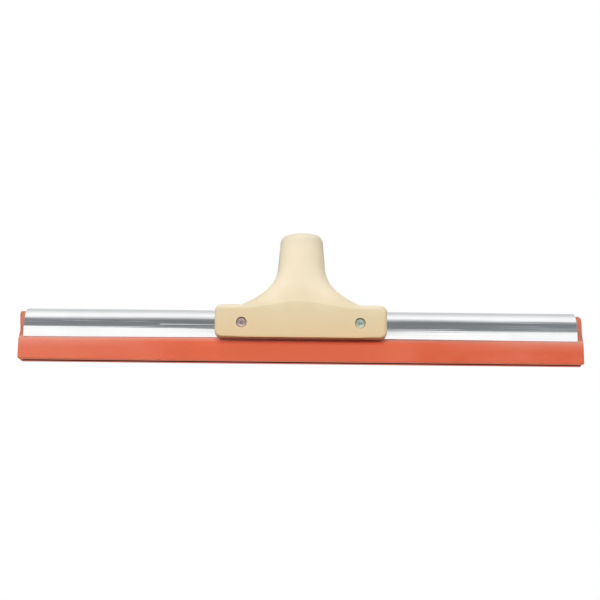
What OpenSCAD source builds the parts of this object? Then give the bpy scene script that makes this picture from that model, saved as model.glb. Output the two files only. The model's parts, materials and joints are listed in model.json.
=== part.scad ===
// Floor squeegee head: two rubber blades clamped in a folded steel channel, under a moulded pole socket.
// Millimetres. X runs along the blades, -Y is the front, +Z is up, and the lips stand on Z = 0.

/* [Rubber blades] */
// Length of the free lips
blade_len = 450; // [350:5:750]
// Thickness of one blade
blade_t = 6; // [4:0.5:8]
// Free height of the lips below the channel's mouth
lip_h = 18; // [14:0.5:30]
// Distance between the two blades
core_t = 6; // [4:0.5:8]
// How far each end of a clamped root stops short of its lip
root_setback = 2; // [0:0.5:3]
// Space between the tops of the roots and the channel's roof
headroom = 2.3; // [1:0.1:4]
// How far the core strip stops above the channel's mouth
core_lift = 2; // [1:0.5:5]
// How far each end of the core strip stops inside the channel
core_setback = 2; // [0:0.5:10]

/* [Flex line of the lips] */
// Depth of the flex line below the channel's mouth
flex_drop = 1.5; // [1.2:0.1:3]
// Clearance round the rolled top of each lip
flex_gap = 0.25; // [0.1:0.05:0.5]
// How far the roots stop above the channel's mouth
root_lift = 0.7; // [0.3:0.1:1.2]

/* [Channel] */
// Thickness of the steel sheet
sheet_t = 0.9; // [0.6:0.1:1.5]
// Rubber that stands out past each end of the channel
overhang = 4; // [3:0.5:10]
// How much narrower the mouth is than the back, on each side
pinch = 1.6; // [0.5:0.1:3]
// Height of the slanted skirt
skirt_h = 7.7; // [6:0.1:16]
// Height of the upright flat between the skirt and the round back
flat_h = 4.5; // [2:0.1:8]
// Clearance between the clamped pieces
fit = 0.1; // [0.05:0.05:0.3]

/* [Saddle] */
// Width of the saddle along the channel
saddle_w = 136.5; // [120:0.5:200]
// Wall of the saddle in front of the channel, and behind it
saddle_wall = 8.4; // [7:0.1:12]
// Thickness of the saddle above the channel
saddle_roof = 2.2; // [1.5:0.1:6]
// How far the saddle reaches below the channel's mouth
saddle_drop = 1; // [0:0.5:3]
// Radius of the saddle's corners, seen from the front
corner_r = 4; // [2.5:0.5:8]
// Rounding of the saddle's other edges
edge_r = 2; // [0.5:0.5:2]

/* [Neck] */
// Height of the neck above the saddle
neck_h = 59.6; // [55:0.1:90]
// Wall of the neck at its rim
rim_wall = 5; // [4.5:0.1:8]
// Rounding of the rim
rim_r = 4; // [1:0.5:4]
// Draft of the neck's sides, in degrees
neck_draft = 5; // [0:0.1:6]
// Height of the flare at the neck's foot
flare_h = 34; // [20:1:45]
// Reach of the flare past the neck, on each side
flare_out = 31; // [10:1:36]
// Steepness of the flare's curve
flare_power = 2.4; // [1.2:0.1:3]
// Squareness of the flare's foot, where 2 is an ellipse
foot_power = 2.6; // [2:0.1:4]
// Step from the saddle's face back to the flare's
face_step = 0.6; // [0.2:0.1:3]

/* [Pole bore] */
// Diameter of the bore for the pole
bore_d = 24; // [18:0.5:30]
// Depth of the bore
bore_depth = 50; // [30:1:54]

/* [Screws and nuts] */
// Distance of each screw from the saddle's end
screw_inset = 21.25; // [12:0.25:30]
// Height of the screws above the channel's mouth
screw_rise = 11; // [8:0.1:14]
// Thread diameter
screw_d = 4; // [3:0.5:5]
// Clearance round the thread, on the radius
screw_play = 0.2; // [0.1:0.05:0.4]
// Diameter of the screw heads
head_d = 8; // [7:0.5:9]
// Height of the screw heads
head_h = 2.7; // [2:0.1:3.5]
// Height of a head's straight rim
head_rim = 1.6; // [0.6:0.1:1.8]
// Clearance round a head, on the radius
head_play = 0.3; // [0.2:0.1:1.5]
// Depth of a head's seat below the saddle's face
head_seat = 3.3; // [2.8:0.1:5.5]
// Length of a cross recess's arms, tip to tip
cross_len = 4.2; // [3:0.1:5]
// Width of a cross recess's arms
cross_w = 0.9; // [0.5:0.1:1.5]
// Depth of a cross recess
cross_depth = 1.5; // [0.8:0.1:2]
// Width of a nut across its flats
nut_flats = 7; // [7:0.5:9]
// Height of a nut
nut_h = 3.2; // [2:0.1:4]
// Clearance round a nut in its pocket
nut_play = 0.15; // [0.05:0.05:0.3]
// Clearance of a nut's thread, on the radius
thread_play = 0.05; // [0.02:0.01:0.1]
// Thread that shows past a nut
tip_out = 0.5; // [0:0.1:1.5]
// Depth of a screw's tip below the saddle's rear face
tip_cover = 0.5; // [0.2:0.1:1]

/* [Hidden] */
$fn = 64;

// Overshoot of cuts, and how far the neck's foot is sunk into the saddle
cut = 1;
foot_sink = 2;

// Channel, from the mouth up
mouth_z = lip_h;
mouth_half = core_t / 2 + blade_t + sheet_t;
channel_half = mouth_half + pinch;
crease_z = mouth_z + skirt_h;
round_z = crease_z + flat_h;
channel_top = round_z + channel_half;
channel_len = blade_len - 2 * overhang;

// Blades
blade_mid = core_t / 2 + blade_t / 2;
flex_z = mouth_z - flex_drop;
root_bottom = mouth_z + root_lift;
root_top = channel_top - sheet_t - headroom;
root_len = blade_len - 2 * root_setback;
core_bottom = mouth_z + core_lift;
core_len = channel_len - 2 * core_setback;

// Saddle
slot_half = channel_half + fit;
saddle_half = slot_half + saddle_wall;
saddle_bottom = mouth_z - saddle_drop;
saddle_top = channel_top + fit + saddle_roof;
saddle_h = saddle_top - saddle_bottom;
saddle_mid = (saddle_top + saddle_bottom) / 2;

// Neck
rim_half = bore_d / 2 + rim_wall;
neck_top = saddle_top + neck_h;
foot_half = saddle_half - face_step;
ring_sides = 48;
flare_steps = 10;
rim_steps = 5;

// Screws and nuts
screw_x = saddle_w / 2 - screw_inset;
screw_z = mouth_z + screw_rise;
head_y = saddle_half - head_seat;
nut_pocket = nut_h + tip_out + tip_cover;
nut_y = saddle_half - nut_pocket;
screw_len = head_y + nut_y + nut_h + tip_out;
hex_round = 2 / sqrt(3);

// Share of the flare that is left at a height
function flare_left(z) = max(0, 1 - (z - saddle_top) / flare_h);
// Half-width, half-depth and squareness of the neck at a height
function neck_half_x(z) =
    rim_half + (neck_top - z) * tan(neck_draft) + flare_out * pow(flare_left(z), flare_power);
function neck_half_y(z) = rim_half + (foot_half - rim_half) * (neck_top - z) / neck_h;
function neck_power(z) = 2 + (foot_power - 2) * flare_left(z);

// Coordinate of a superellipse, from a sine or cosine
function super(half, wave, power) = half * sign(wave) * pow(abs(wave), 2 / power);
// One ring of the neck, shaped as at height from, lying at height z and drawn in by inset
function ring(from, z, inset) = [
    for (i = [0 : ring_sides - 1])
        let (a = 360 * i / ring_sides, power = neck_power(from))
            [super(neck_half_x(from) - inset, cos(a), power), super(neck_half_y(from) - inset, sin(a), power), z]
];

// Rings of the neck, from the sunk foot up the flare and the cone and over the rim
function neck_rings() = concat(
    [ring(saddle_top, saddle_top - foot_sink, 0)],
    [for (i = [0 : flare_steps]) let (z = saddle_top + flare_h * i / flare_steps) ring(z, z, 0)],
    [for (i = [0 : rim_steps])
        let (a = 90 * i / rim_steps, z = neck_top - rim_r * (1 - sin(a)))
            ring(z, z, rim_r * (1 - cos(a)))]
);

// Runs a front-to-back profile along X
module along_x(len) { rotate([90, 0, 90]) linear_extrude(len, center = true) children(); }

// Places a piece drawn along +Z on a screw's axis, where side is -1 for left and 1 for right
module on_screw(side) { translate([side * screw_x, 0, screw_z]) rotate([-90, 0, 0]) children(); }

// Holes for both screws, right through the model
module screw_holes() {
    for (side = [-1, 1])
        on_screw(side) cylinder(r = screw_d / 2 + screw_play, h = 2 * saddle_half + 2 * cut, center = true);
}

// Rectangle with round corners, about its centre
module round_rect(w, h, r) {
    square([w - 2 * r, h], center = true);
    square([w, h - 2 * r], center = true);
    for (x = [-1, 1], y = [-1, 1])
        translate([x * (w / 2 - r), y * (h / 2 - r)]) circle(r);
}

// Channel's section drawn in by inset, running on below the mouth by drop
module channel_profile(inset, drop = 0) {
    back = channel_half - inset;
    mouth = mouth_half - inset;
    translate([0, round_z]) circle(back);
    polygon([
        [-back, round_z], [-back, crease_z], [-mouth, mouth_z], [-mouth, mouth_z - drop],
        [mouth, mouth_z - drop], [mouth, mouth_z], [back, crease_z], [back, round_z]
    ]);
}

module channel() {
    color("gainsboro") difference() {
        along_x(channel_len) difference() {
            channel_profile(0);
            channel_profile(sheet_t, cut);
        }
        screw_holes();
    }
}

// Clamped root of the front blade
module front_blade() {
    color([0.87, 0.42, 0.31]) difference() {
        along_x(root_len) difference() {
            intersection() {
                channel_profile(sheet_t + fit);
                translate([-channel_half, root_bottom])
                    square([channel_half - core_t / 2, root_top - root_bottom]);
            }
            translate([-blade_mid, flex_z]) circle(blade_t / 2 + flex_gap);
        }
        screw_holes();
    }
}

// Free lip of the front blade, rolled at the top about its flex line
module front_lip() {
    color([0.86, 0.4, 0.29]) along_x(blade_len) {
        translate([-blade_mid, flex_z]) circle(blade_t / 2);
        translate([-blade_mid - blade_t / 2, 0]) square([blade_t, flex_z]);
    }
}

module rear_blade() { mirror([0, 1, 0]) front_blade(); }

module rear_lip() { mirror([0, 1, 0]) front_lip(); }

// Spacer between the two roots
module core_strip() {
    half = core_t / 2 - fit;
    color("dimgray") difference() {
        along_x(core_len)
            translate([-half, core_bottom]) square([2 * half, root_top - core_bottom]);
        screw_holes();
    }
}

// Block of the saddle, rounded in front, side and plan view
module saddle() {
    translate([0, 0, saddle_mid]) intersection() {
        rotate([90, 0, 0]) linear_extrude(2 * saddle_half, center = true)
            round_rect(saddle_w, saddle_h, corner_r);
        along_x(saddle_w) round_rect(2 * saddle_half, saddle_h, edge_r);
        linear_extrude(saddle_h, center = true) round_rect(saddle_w, 2 * saddle_half, edge_r);
    }
}

// Neck and flare, skinned over the rings
module neck() {
    rings = neck_rings();
    last = len(rings) - 1;
    polyhedron(
        points = [for (r = rings) each r],
        faces = concat(
            [[for (i = [0 : ring_sides - 1]) i]],
            [[for (i = [ring_sides - 1 : -1 : 0]) last * ring_sides + i]],
            [for (j = [0 : last - 1], i = [0 : ring_sides - 1])
                let (a = j * ring_sides, b = a + ring_sides, k = (i + 1) % ring_sides)
                    each [[a + i, b + i, b + k], [a + i, b + k, a + k]]]
        )
    );
}

// Slot that fits over the channel, open below
module channel_slot() {
    along_x(saddle_w + 2 * cut) {
        translate([0, round_z]) circle(slot_half);
        translate([-slot_half, saddle_bottom - cut]) square([2 * slot_half, round_z - saddle_bottom + cut]);
    }
}

// Recess for a screw's head at the front, and for a nut at the rear
module fastener_seats() {
    for (side = [-1, 1]) {
        on_screw(side) translate([0, 0, -head_y - head_seat - cut])
            cylinder(r = head_d / 2 + head_play, h = head_seat + cut);
        on_screw(side) translate([0, 0, nut_y])
            cylinder(r = (nut_flats / 2 + nut_play) * hex_round, h = nut_pocket + cut, $fn = 6);
    }
}

module handle_socket() {
    color([0.93, 0.86, 0.7]) difference() {
        union() {
            saddle();
            neck();
        }
        channel_slot();
        screw_holes();
        fastener_seats();
        translate([0, 0, neck_top - bore_depth]) cylinder(d = bore_d, h = bore_depth + cut);
    }
}

// Pan-head screw with a cross recess
module screw(side) {
    dome_h = head_h - head_rim;
    dome_r = (pow(head_d / 2, 2) + pow(dome_h, 2)) / (2 * dome_h);
    color("silver") on_screw(side) translate([0, 0, -head_y]) difference() {
        union() {
            cylinder(d = screw_d, h = screw_len);
            mirror([0, 0, 1]) rotate_extrude() intersection() {
                translate([0, head_h - dome_r]) circle(dome_r);
                square([head_d / 2, head_h]);
            }
        }
        for (turn = [0, 90])
            rotate(turn) translate([-cross_len / 2, -cross_w / 2, -head_h - cut])
                cube([cross_len, cross_w, cross_depth + cut]);
    }
}

module screw_left() { screw(-1); }

module screw_right() { screw(1); }

// Hexagon nut on its seat
module nut(side) {
    color("silver") on_screw(side) translate([0, 0, nut_y]) difference() {
        cylinder(r = nut_flats / 2 * hex_round, h = nut_h, $fn = 6);
        translate([0, 0, -cut]) cylinder(r = screw_d / 2 + thread_play, h = nut_h + 2 * cut);
    }
}

module nut_left() { nut(-1); }

module nut_right() { nut(1); }

handle_socket();
channel();
front_blade();
front_lip();
rear_blade();
rear_lip();
core_strip();
screw_left();
screw_right();
nut_left();
nut_right();
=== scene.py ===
"""Looks of a floor squeegee head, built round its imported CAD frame. Modelling is in millimetres."""

import json
import math

import bmesh
import bpy
import numpy as np
from mathutils import Matrix, Vector


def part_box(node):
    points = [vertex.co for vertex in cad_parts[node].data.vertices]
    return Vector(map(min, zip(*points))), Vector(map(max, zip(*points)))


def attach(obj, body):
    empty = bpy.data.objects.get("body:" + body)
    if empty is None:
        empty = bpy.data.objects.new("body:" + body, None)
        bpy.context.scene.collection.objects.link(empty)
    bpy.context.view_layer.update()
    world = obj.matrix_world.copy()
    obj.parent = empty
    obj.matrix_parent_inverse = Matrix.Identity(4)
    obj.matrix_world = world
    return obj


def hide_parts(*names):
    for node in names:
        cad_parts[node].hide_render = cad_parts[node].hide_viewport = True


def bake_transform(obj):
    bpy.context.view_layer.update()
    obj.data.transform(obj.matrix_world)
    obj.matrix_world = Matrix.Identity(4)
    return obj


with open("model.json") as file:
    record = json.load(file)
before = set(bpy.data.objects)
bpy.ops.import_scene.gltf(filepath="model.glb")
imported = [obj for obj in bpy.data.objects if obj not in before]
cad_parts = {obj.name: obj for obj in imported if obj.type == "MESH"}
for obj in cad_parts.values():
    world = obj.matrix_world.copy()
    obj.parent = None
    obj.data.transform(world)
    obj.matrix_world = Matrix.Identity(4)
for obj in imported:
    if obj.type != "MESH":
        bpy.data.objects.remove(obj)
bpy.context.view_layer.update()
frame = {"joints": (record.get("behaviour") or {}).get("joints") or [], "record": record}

MM = 0.001
SEED = 7
TINY = 1e-9


def box_mm(node):
    """Lowest and highest corner of a CAD node, in millimetres."""
    return [np.array(corner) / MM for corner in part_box(node)]


# Sizes read from the frame
SOCKET_LOW, SOCKET_HIGH = box_mm("handle_socket")
CHANNEL_LOW, CHANNEL_HIGH = box_mm("channel")
LIP_LOW, LIP_HIGH = box_mm("rear_lip")
CORE_LOW, CORE_HIGH = box_mm("core_strip")
SCREW_LOW, SCREW_HIGH = box_mm("screw_right")
NUT_LOW, NUT_HIGH = box_mm("nut_right")
ROOT_TOP = box_mm("rear_blade")[1][2]
BORE = next(m for m in frame["record"]["mounts"] if m["name"] == "pole_bore")["dims"]
BORE_R = BORE["r_mm"]
BORE_DEPTH = BORE["length_mm"]
FLEX_Z = frame["joints"][0]["pos_m"][2] / MM

# Channel: the sheet's thickness, its mouth, crease and round back
SHEET_T = 0.9
PINCH = 1.6
SKIRT_H = 7.0
CREASE_BEND = 14.0
CHANNEL_HALF = CHANNEL_HIGH[1]
MOUTH_Z = CHANNEL_LOW[2]
MOUTH_HALF = CHANNEL_HALF - PINCH
CREASE_Z = MOUTH_Z + SKIRT_H
ROUND_Z = CHANNEL_HIGH[2] - CHANNEL_HALF

# Channel: its ends, and the small faults of a folded sheet
CHANNEL_END = CHANNEL_HIGH[0]
CHANNEL_SHIFT = -0.5
CHANNEL_REACH = CHANNEL_END + CHANNEL_SHIFT
CHANNEL_SLANT = 0.055
CHANNEL_EASE = 0.12
CHANNEL_INNER = 2.0
DENT = 0.06
DENT_WAVES = 6
DENT_TURN = 0.011
DENT_FIRST = 1.3
MOUTH_LIFT = 0.9
MOUTH_BOW = 190.0
CREASE_TILT = -0.002

# Draw mark along the channel's front: height, width, and where along X it fades in and out
DRAW_Z = 28.4
DRAW_W = 0.9
DRAW_IN = (-114, -111)
DRAW_OUT = (-50, -60)

# Blades: clearance in the channel, and rounded edges that are more worn at the left end
BLADE_FIT = 0.22
ROOT_EDGE = 0.7
LIP_KEEN = 0.15
LIP_WORN = 0.75
WEAR_LENGTH = 0.25
LIP_BULGE = 0.35
BULGE_POWER = 1.6
LIP_EASE = 2.0
END_EDGE = 0.5
LIP_CORNER = 0.5
CORE_EDGE = 0.5

# Blades: ends that aren't cut quite square, left and right
END_SLANT = {-1: 0.008, 1: 0.017}
END_SPLAY = {-1: 1.5, 1: 1.25}
END_LEAN = {-1: -0.09, 1: 0.0}
TOP_CORNER = {-1: 0.9, 1: 2.4}
SPLAY_BELOW = 2.0
SPLAY_H = 8.0
LEAN_ABOVE = 7.0

# Blades: the zone that bends, and heights of their points as (start, stop, step), closest in that zone
BLADE_RISES = [(2, 9, 1.4), (9.5, 22, 0.55), (22.5, ROOT_TOP - 1, 1.0)]

# Saddle of the socket
SADDLE_LIFT = 0.35
SADDLE_ROOF = 2.3
SADDLE_LOW = SOCKET_LOW[2] + SADDLE_LIFT
SADDLE_TOP = CHANNEL_HIGH[2] + SADDLE_ROOF
SLOT_FIT = 0.1
EDGE_BOTTOM = 1.2
EDGE_TOP = 4.2
CORNER_BOTTOM = 5.0
CORNER_TOP = 5.5
PLAN_CORNER = 3.5
WALL_START = 0.4

# Neck of the socket
FACE_DRAFT = 0.03
FACE_FLARE = 2.1
FACE_POWER = 5.0
RIM_R = BORE_R + 4.7
RIM_H = 7.0
RIM_LOW = SOCKET_HIGH[2] - RIM_H
RIM_TILT = 0.7
RIM_LIP = 0.6
NECK_DRAFT = math.radians(5)
FLARE_H = 34.0
FLARE_OUT = 30.3
FLARE_POWER = 2.5
FLARE_LOW = 1.15
FLARE_SPACING = 1.15
FOOT_POWER = 2.6
BLEND = 5.0
FILLET_OUT = 6.0
FILLET_RISE = 3.2
FILLET_SHARE = 0.8

# Points round the socket: their number, and shares spread evenly, by length and at the saddle's corners
RING_SIDES = 336
SPREAD_EVEN = 0.42
SPREAD_LENGTH = 0.36
SPREAD_CORNER = 0.22
CORNER_WIDTH = 0.035

# Screws
SCREW_R = 2.0
HOLE_R = 2.2
THREAD_PITCH = 0.7
THREAD_DEPTH = 0.3
THREAD_STEEP = 2.6
THREAD_CREST = 0.2
THREAD_SIDES = 56
RINGS_PER_TURN = 7
TIP_TAPER = 0.7
SCREW_X = (SCREW_LOW[0] + SCREW_HIGH[0]) / 2
SCREW_Z = (SCREW_LOW[2] + SCREW_HIGH[2]) / 2
HEAD_R = SCREW_HIGH[0] - SCREW_X
HEAD_H = 2.7
HEAD_RIM = 1.9
HEAD_EASE = 0.2
HEAD_SEAT = SCREW_LOW[1] + HEAD_H
DOME_ENDS = (0.04, 0.06)
DOME_EASE = 0.25
UNDERCUT = 0.6
RECESS_R = HEAD_R + 0.2
RECESS_LIP = 0.3

# Cross recess: half-length, width and depth from the head's face, at its mouth and at its floor
CROSS_HALF = 2.1
CROSS_W = 0.95
CROSS_MOUTH = (CROSS_HALF * 1.35, CROSS_W * 1.1, -0.6)
CROSS_FLOOR = (CROSS_HALF * 0.35, CROSS_W * 0.7, 1.7)
CROSS_TURN = 28

# Nuts
NUT_PLAY = 0.15
NUT_BORE_R = 2.05
NUT_MOUTH = 0.35
NUT_CHAMFER = 0.8
NUT_FACE = 0.97
NUT_CORNER = 1.02
HEX = 2 / math.sqrt(3)

# How far cutters reach past what they cut
DRILL_OVER = 1.0
SEAT_OVER = 2.0
SLOT_OVER = 5.0
HOLE_OVER = 0.5

# Camera, fitted to the object's outline in the photograph, in a 600 px frame
PHOTO_PX = 600
FOCAL_PX = 1363.6
CAMERA_TARGET = Vector((-0.98, 0, 51.1)) * MM
CAMERA_DISTANCE = 1.1
CAMERA_AZIMUTH = math.radians(0.31)
CAMERA_ELEVATION = math.radians(-11.17)
CAMERA_ROLL = math.radians(0.64)
CAMERA_NEAR = 0.05
SENSOR_MM = 36.0


# Mesh helpers

def new_object(name, points, faces):
    """Mesh object from points in millimetres, with its normals turned outwards."""
    mesh = bpy.data.meshes.new(name)
    mesh.from_pydata((np.asarray(points, float) * MM).tolist(), [], faces)
    sheet = bmesh.new()
    sheet.from_mesh(mesh)
    bmesh.ops.recalc_face_normals(sheet, faces=sheet.faces)
    sheet.to_mesh(mesh)
    sheet.free()
    obj = bpy.data.objects.new(name, mesh)
    bpy.context.scene.collection.objects.link(obj)
    return obj


def loft(rings):
    """Points and faces of a closed skin over rings of equal length, capped at both ends."""
    count = len(rings[0])
    faces = []
    for j in range(len(rings) - 1):
        a, b = j * count, (j + 1) * count
        for i in range(count):
            k = (i + 1) % count
            faces.append((a + i, a + k, b + k, b + i))
    last = (len(rings) - 1) * count
    faces.append(tuple(range(count)))
    faces.append(tuple(last + i for i in range(count)))
    return np.concatenate(rings), faces


def lathe(profile, sides):
    """Rings about the Z axis for a profile of (radius, z) pairs."""
    turn = np.linspace(0, 2 * math.pi, sides, endpoint=False)
    return [np.stack([r * np.cos(turn), r * np.sin(turn), np.full(sides, z)], axis=1) for r, z in profile]


def on_screw_axis(points, side):
    """Moves points drawn along +Z onto a screw's axis, which runs along +Y."""
    x, y, z = np.asarray(points, float).T
    return np.stack([side * SCREW_X + x, z, SCREW_Z - y], axis=1)


def screw_object(name, rings, side):
    """Object skinned over rings that are drawn along +Z, placed on a screw's axis."""
    return new_object(name, *loft([on_screw_axis(ring, side) for ring in rings]))


def boolean(obj, cutters, operation="DIFFERENCE"):
    """Cuts an object with others, which are then removed."""
    for cutter in cutters:
        modifier = obj.modifiers.new("cut", "BOOLEAN")
        modifier.operation = operation
        modifier.solver = "EXACT"
        modifier.object = cutter
    graph = bpy.context.evaluated_depsgraph_get()
    mesh = bpy.data.meshes.new_from_object(obj.evaluated_get(graph))
    obj.modifiers.clear()
    obj.data = mesh
    for cutter in cutters:
        bpy.data.objects.remove(cutter)


def finish_piece(obj, material, nodes, sharp_degrees=32):
    """Shades a piece, gives it its finish and lets it stand for its CAD nodes."""
    obj.data.shade_smooth()
    obj.data.set_sharp_from_angle(angle=math.radians(sharp_degrees))
    obj.data.materials.clear()
    obj.data.materials.append(material)
    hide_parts(*nodes)


def screw_drill():
    """Cutters for the two screw holes."""
    reach = SOCKET_HIGH[1] + DRILL_OVER
    rings = lathe([(HOLE_R, -reach), (HOLE_R, reach)], 48)
    return [screw_object("drill", rings, side) for side in (-1, 1)]


def quarter(steps):
    """Angles of a quarter turn."""
    return np.linspace(0, math.pi / 2, steps + 1)


def rounding(depth, radius):
    """How far a rounded edge draws a face in, at a depth below the edge's end."""
    return radius - np.sqrt(radius ** 2 - np.clip(radius - depth, 0, radius) ** 2)


# Materials

class Nodes:
    """A node tree, with short ways to add and link its nodes."""

    def __init__(self, tree):
        self.tree = tree

    def put(self, socket, value):
        """Links an output to an input, or gives the input a fixed value."""
        if isinstance(value, bpy.types.NodeSocket):
            self.tree.links.new(value, socket)
        else:
            socket.default_value = value

    def node(self, kind, inputs=None, **settings):
        """Adds a node, with fixed values or links for its inputs."""
        node = self.tree.nodes.new(kind)
        for key, value in settings.items():
            setattr(node, key, value)
        for key, value in (inputs or {}).items():
            self.put(node.inputs[key], value)
        return node

    def split(self, vector):
        """The three coordinates of a vector."""
        parts = self.node("ShaderNodeSeparateXYZ", {"Vector": vector}).outputs
        return parts["X"], parts["Y"], parts["Z"]

    def math(self, operation, *values):
        """Result of a Math node on numbers or links."""
        node = self.node("ShaderNodeMath", operation=operation)
        for socket, value in zip(node.inputs, values):
            self.put(socket, value)
        return node.outputs["Value"]

    def between(self, factor, low, high, start=0.0, stop=1.0):
        """Number that goes from low to high as the factor goes from start to stop."""
        inputs = {"Value": factor, "From Min": start, "From Max": stop, "To Min": low, "To Max": high}
        return self.node("ShaderNodeMapRange", inputs).outputs["Result"]

    def ramp(self, factor, stops):
        """Colour ramp over (position, colour) stops."""
        node = self.node("ShaderNodeValToRGB", {"Fac": factor})
        elements = node.color_ramp.elements
        while len(elements) < len(stops):
            elements.new(0.5)
        for element, (position, colour) in zip(elements, stops):
            element.position = position
            element.color = (*colour, 1)
        return node.outputs["Color"]

    def tint(self, factor, first, second, blend="MIX"):
        """Mixes two colours by a factor."""
        node = self.node("ShaderNodeMix", data_type="RGBA", blend_type=blend)
        self.put(node.inputs[0], factor)
        for socket, colour in ((node.inputs[6], first), (node.inputs[7], second)):
            linked = isinstance(colour, bpy.types.NodeSocket)
            self.put(socket, colour if linked else (*colour, 1))
        return node.outputs[2]


class Shader(Nodes):
    """A procedural material with one Principled shader."""

    def __init__(self, name, **values):
        self.material = bpy.data.materials.new(name)
        self.material.use_nodes = True
        super().__init__(self.material.node_tree)
        self.shader = self.tree.nodes["Principled BSDF"]
        for socket, value in values.items():
            self.shader.inputs[socket.replace("_", " ")].default_value = value

    def place(self, scale=(1, 1, 1)):
        """Object coordinates in metres, stretched by scale."""
        coordinates = self.node("ShaderNodeTexCoord").outputs["Object"]
        return self.node("ShaderNodeMapping", {"Vector": coordinates, "Scale": scale}).outputs["Vector"]

    def noise(self, scale, detail=4.0, roughness=0.55, stretch=(1, 1, 1), distortion=0.0):
        """Noise factor at a scale per metre."""
        inputs = {"Vector": self.place(stretch), "Scale": scale, "Detail": detail,
                  "Roughness": roughness, "Distortion": distortion}
        return self.node("ShaderNodeTexNoise", inputs).outputs["Fac"]

    def apart(self, coordinate, middle=0.0):
        """Distance of a coordinate from a place that is given in millimetres."""
        return self.math("ABSOLUTE", self.math("SUBTRACT", coordinate, middle * MM))

    def zone(self, *fades):
        """Product of fades, each a coordinate and the millimetres at which the fade is 0 and 1."""
        share = 1.0
        for coordinate, bare, full in fades:
            share = self.math("MULTIPLY", share, self.between(coordinate, 0.0, 1.0, bare * MM, full * MM))
        return share

    def coat(self, colour, over, strength, *fades):
        """Lays a colour over another one in a zone, at a strength."""
        return self.tint(self.math("MULTIPLY", self.zone(*fades), strength), colour, over)

    def bump(self, height, strength, distance, normal=None):
        """Bump from a height, on top of another one if given."""
        inputs = {"Height": height, "Strength": strength, "Distance": distance}
        if normal is not None:
            inputs["Normal"] = normal
        return self.node("ShaderNodeBump", inputs).outputs["Normal"]

    def drive(self, socket, output):
        """Links an output to a socket of the Principled shader."""
        self.tree.links.new(output, self.shader.inputs[socket])


CREAM = (0.79, 0.655, 0.42)
CREAM_WARM = (0.80, 0.60, 0.35)
CREAM_PALE = (0.905, 0.79, 0.58)
# Colour of a painted highlight on the saddle's top edge
CREAM_EDGE_HIGHLIGHT = (0.85, 0.755, 0.575)
# Colour of painted shade near the rim's top
CREAM_RIM_SHADE = (0.80, 0.715, 0.55)
# Colour of painted shade at the saddle's bottom edge
CREAM_UNDER_SHADE = (0.70, 0.46, 0.20)
RUBBER = (0.775, 0.145, 0.068)
RUBBER_DEEP = (0.73, 0.122, 0.050)
RUBBER_BLOOM = (0.81, 0.215, 0.13)
# Colour of painted light reflected onto the rubber near the channel's mouth
RUBBER_REFLECTED_LIGHT = (0.86, 0.55, 0.48)
RUBBER_WORN = (0.60, 0.185, 0.115)
# Colour of a painted shadow line under the sheet's edge
RUBBER_EDGE_SHADOW = (0.60, 0.25, 0.19)
# Colour of painted light beneath the saddle
RUBBER_LIT_UNDER_SADDLE = (0.85, 0.175, 0.085)
# Colour of a painted shadow just under the saddle's edge
RUBBER_SADDLE_SHADOW = (0.50, 0.018, 0.003)
ZINC = (0.985, 0.99, 0.992)
ZINC_DULL = (0.90, 0.91, 0.92)
CORE_GREY = (0.035, 0.036, 0.038)
CORE_DUST = (0.075, 0.072, 0.07)
PASSIVE_PINK = (0.90, 0.74, 0.76)
PASSIVE_GREEN = (0.86, 0.96, 0.86)

# Range in which most of a noise lies
NOISE_SPAN = (0.3, 0.7)

# Finish of the cream plastic: strength of each change, and the millimetres at which it is bare and full
SCATTER = (1.0, 0.7, 0.4)
# Paler upwards from the saddle's bottom to the flare: painted light
PAINTED_LIGHT_UP = 0.9
PAINTED_LIGHT_UP_Z = (SOCKET_LOW[2], SADDLE_TOP + FLARE_H / 2)
FLOW = 0.14
# Shoulders of the saddle's top edge: painted highlight
EDGE_HIGHLIGHT = 0.9
EDGE_HIGHLIGHT_Z = (SADDLE_TOP - 5, SADDLE_TOP - 1.5)
EDGE_HIGHLIGHT_X = (30, 48)
# Saddle's bottom edge: painted shade
UNDER_SHADE = 0.5
UNDER_SHADE_Z = (SADDLE_LOW + 1.3, SADDLE_LOW + 0.3)
# Top of the rim: painted shade
RIM_SHADE = 0.8
RIM_SHADE_Z = (SOCKET_HIGH[2] - 14, SOCKET_HIGH[2] - 2)
SEAM_Y = (0.4, 0.1)


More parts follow.
